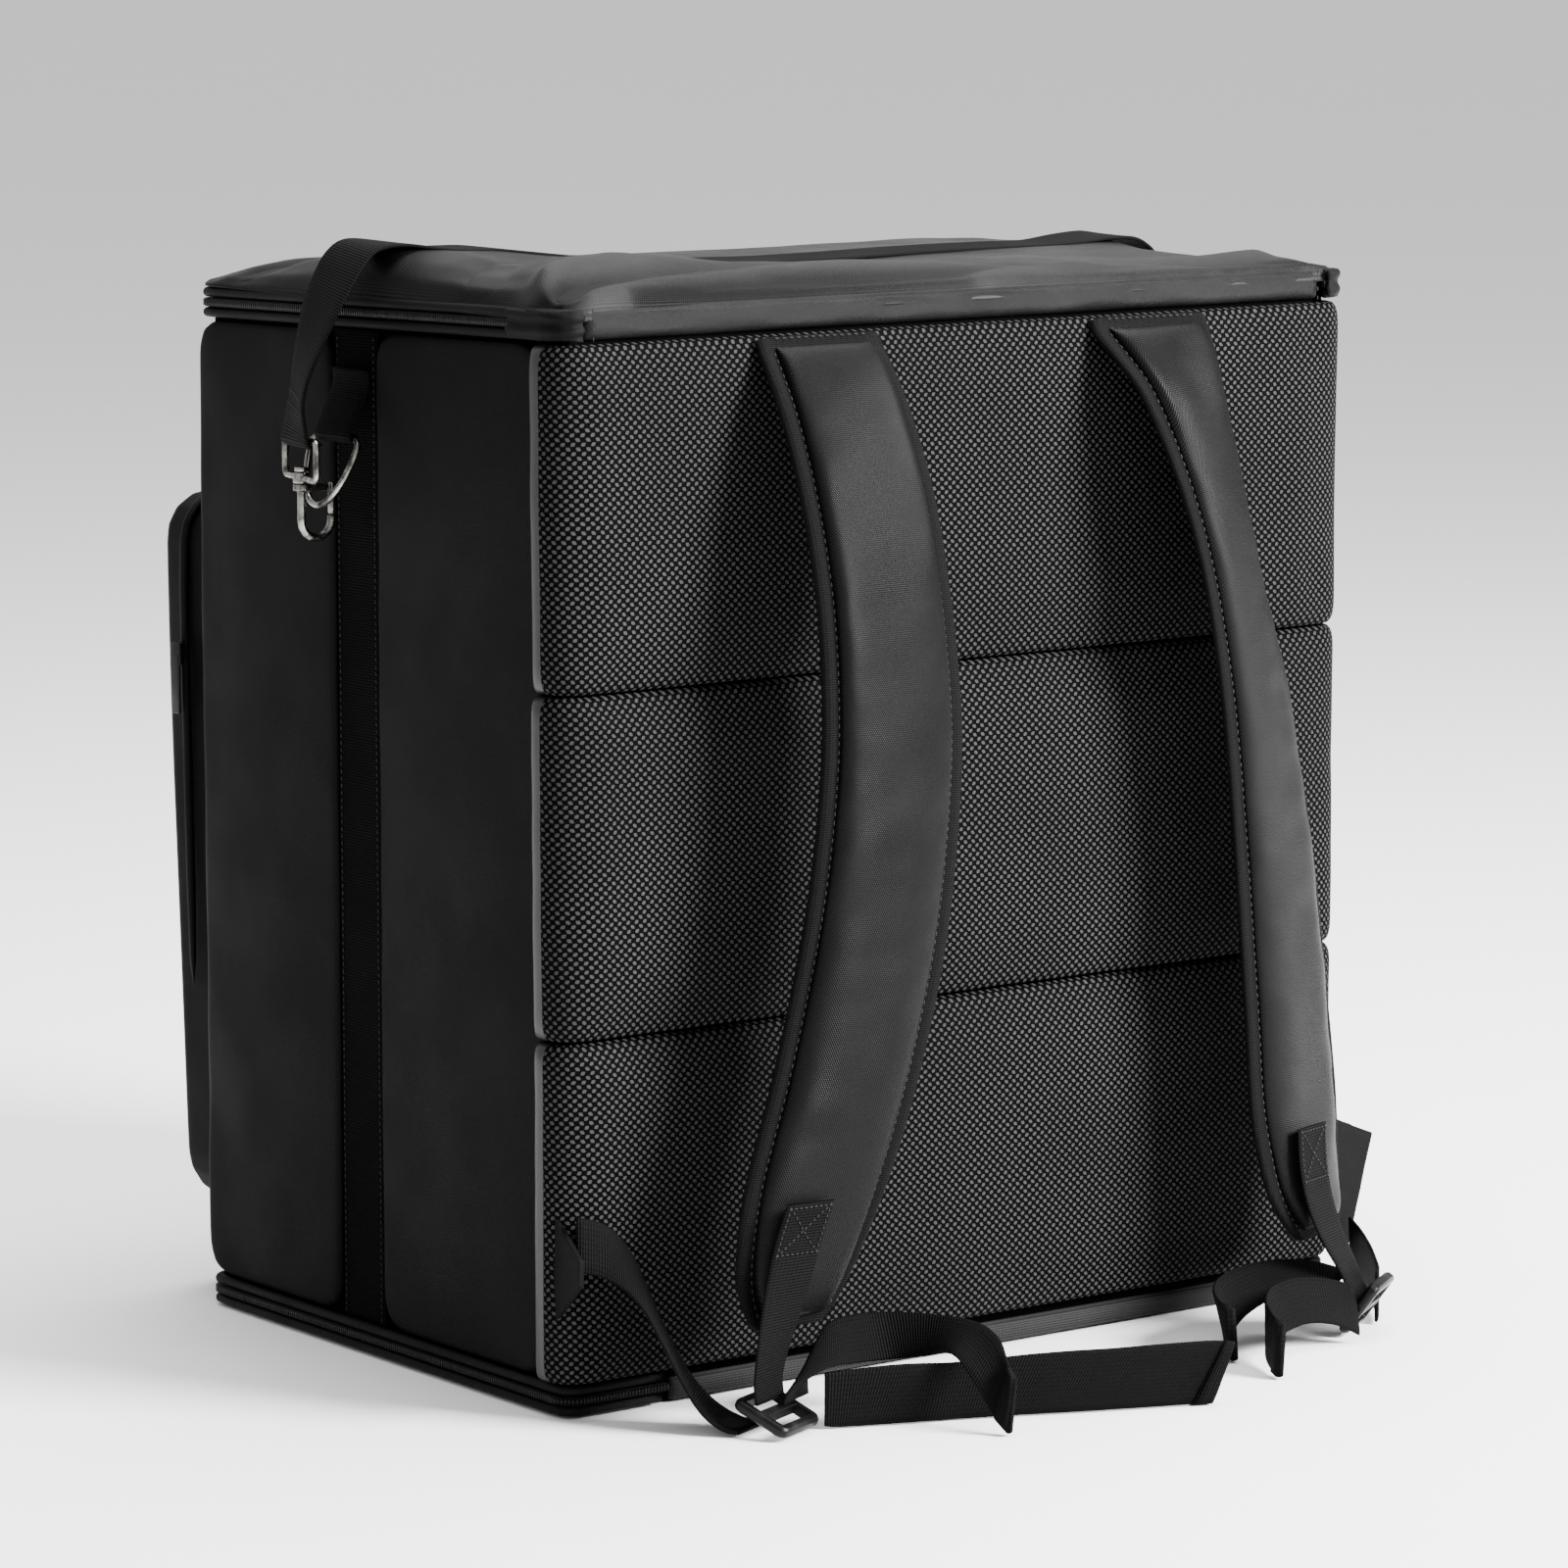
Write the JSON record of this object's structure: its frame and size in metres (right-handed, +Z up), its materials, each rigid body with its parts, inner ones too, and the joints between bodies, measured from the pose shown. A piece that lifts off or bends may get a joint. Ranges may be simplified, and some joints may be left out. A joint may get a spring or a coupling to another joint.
{
  "type": "computer carrying bag",
  "caption": "Tall box-shaped padded backpack for a desktop computer, with quilted mesh back, shoulder straps, zipped lid, front pocket, top carry strap and swivel snap hooks.",
  "frame": {"origin": "on the floor, under the middle of the box-shaped body", "axes": "+Z up; -Y is the padded back with the shoulder straps, +Y the front pocket, -X the side with the jointed swivel hook"},
  "size_m": [0.5406, 0.5225, 0.5292],
  "materials": {
    "padded_cloth": "smooth woven polyester over foam",
    "spacer_mesh": "open spacer mesh",
    "webbing": "ribbed webbing",
    "binding": "folded binding tape",
    "plastic": "moulded",
    "metal": "dark nickel plate"
  },
  "bodies": {
    "bag": {"back_pad_bottom": "spacer_mesh", "back_pad_middle": "spacer_mesh", "back_pad_top": "spacer_mesh", "back_trim": "webbing", "base_lower_piping": "binding", "base_upper_piping": "binding", "base_zip_pull": "plastic", "base_zip_tape": "binding", "belt_tail_left": "webbing", "belt_tail_right": "webbing", "body_edge_piping": "binding", "body_shell": "padded_cloth", "carry_strap": "webbing", "corner_tab_left": "padded_cloth", "corner_tab_right": "padded_cloth", "d_ring_left": "metal", "d_ring_right": "metal", "front_pad": "padded_cloth", "front_pocket": "padded_cloth", "hinge_band": "padded_cloth", "lid": "padded_cloth", "lid_edge_piping": "binding", "lower_webbing_left": "webbing", "lower_webbing_right": "webbing", "pocket_zip_pull": "plastic", "pocket_zip_tape": "binding", "ring_keeper_left": "webbing", "ring_keeper_right": "webbing", "shoulder_cushion_left": "padded_cloth", "shoulder_cushion_right": "padded_cloth", "shoulder_strap_left": "binding", "shoulder_strap_right": "binding", "side_pad_left_back": "padded_cloth", "side_pad_left_front": "padded_cloth", "side_pad_right_back": "padded_cloth", "side_pad_right_front": "padded_cloth", "side_strip_left": "webbing", "side_strip_right": "webbing", "snap_hook_right": "metal", "strap_buckle_left": "plastic", "strap_buckle_right": "plastic", "strap_tail_left": "webbing", "strap_tail_right": "webbing", "strap_webbing_left": "webbing", "strap_webbing_right": "webbing", "swivel_loop_left": "metal", "top_zip_pull": "plastic", "top_zip_tape": "binding", "zip_end_tab_left": "padded_cloth", "zip_end_tab_right": "padded_cloth"},
    "hook": {"snap_hook_left": "metal"},
    "gate": {"hook_gate_left": "metal"}
  },
  "joints": [
    {"name": "hook_swivel", "type": "hinge", "parent": "bag", "child": "hook", "pos_m": [-0.26, 0.0175, 0.4205], "axis": [0, 0, 1], "range_deg": [-20, 20]},
    {"name": "gate_hinge", "type": "hinge", "parent": "hook", "child": "gate", "pos_m": [-0.2435, 0.0175, 0.4155], "axis": [0, 1, 0], "range_deg": [0, 20], "stiffness_Nm_per_rad": 0.02, "springref_deg": -11.46}
  ]
}
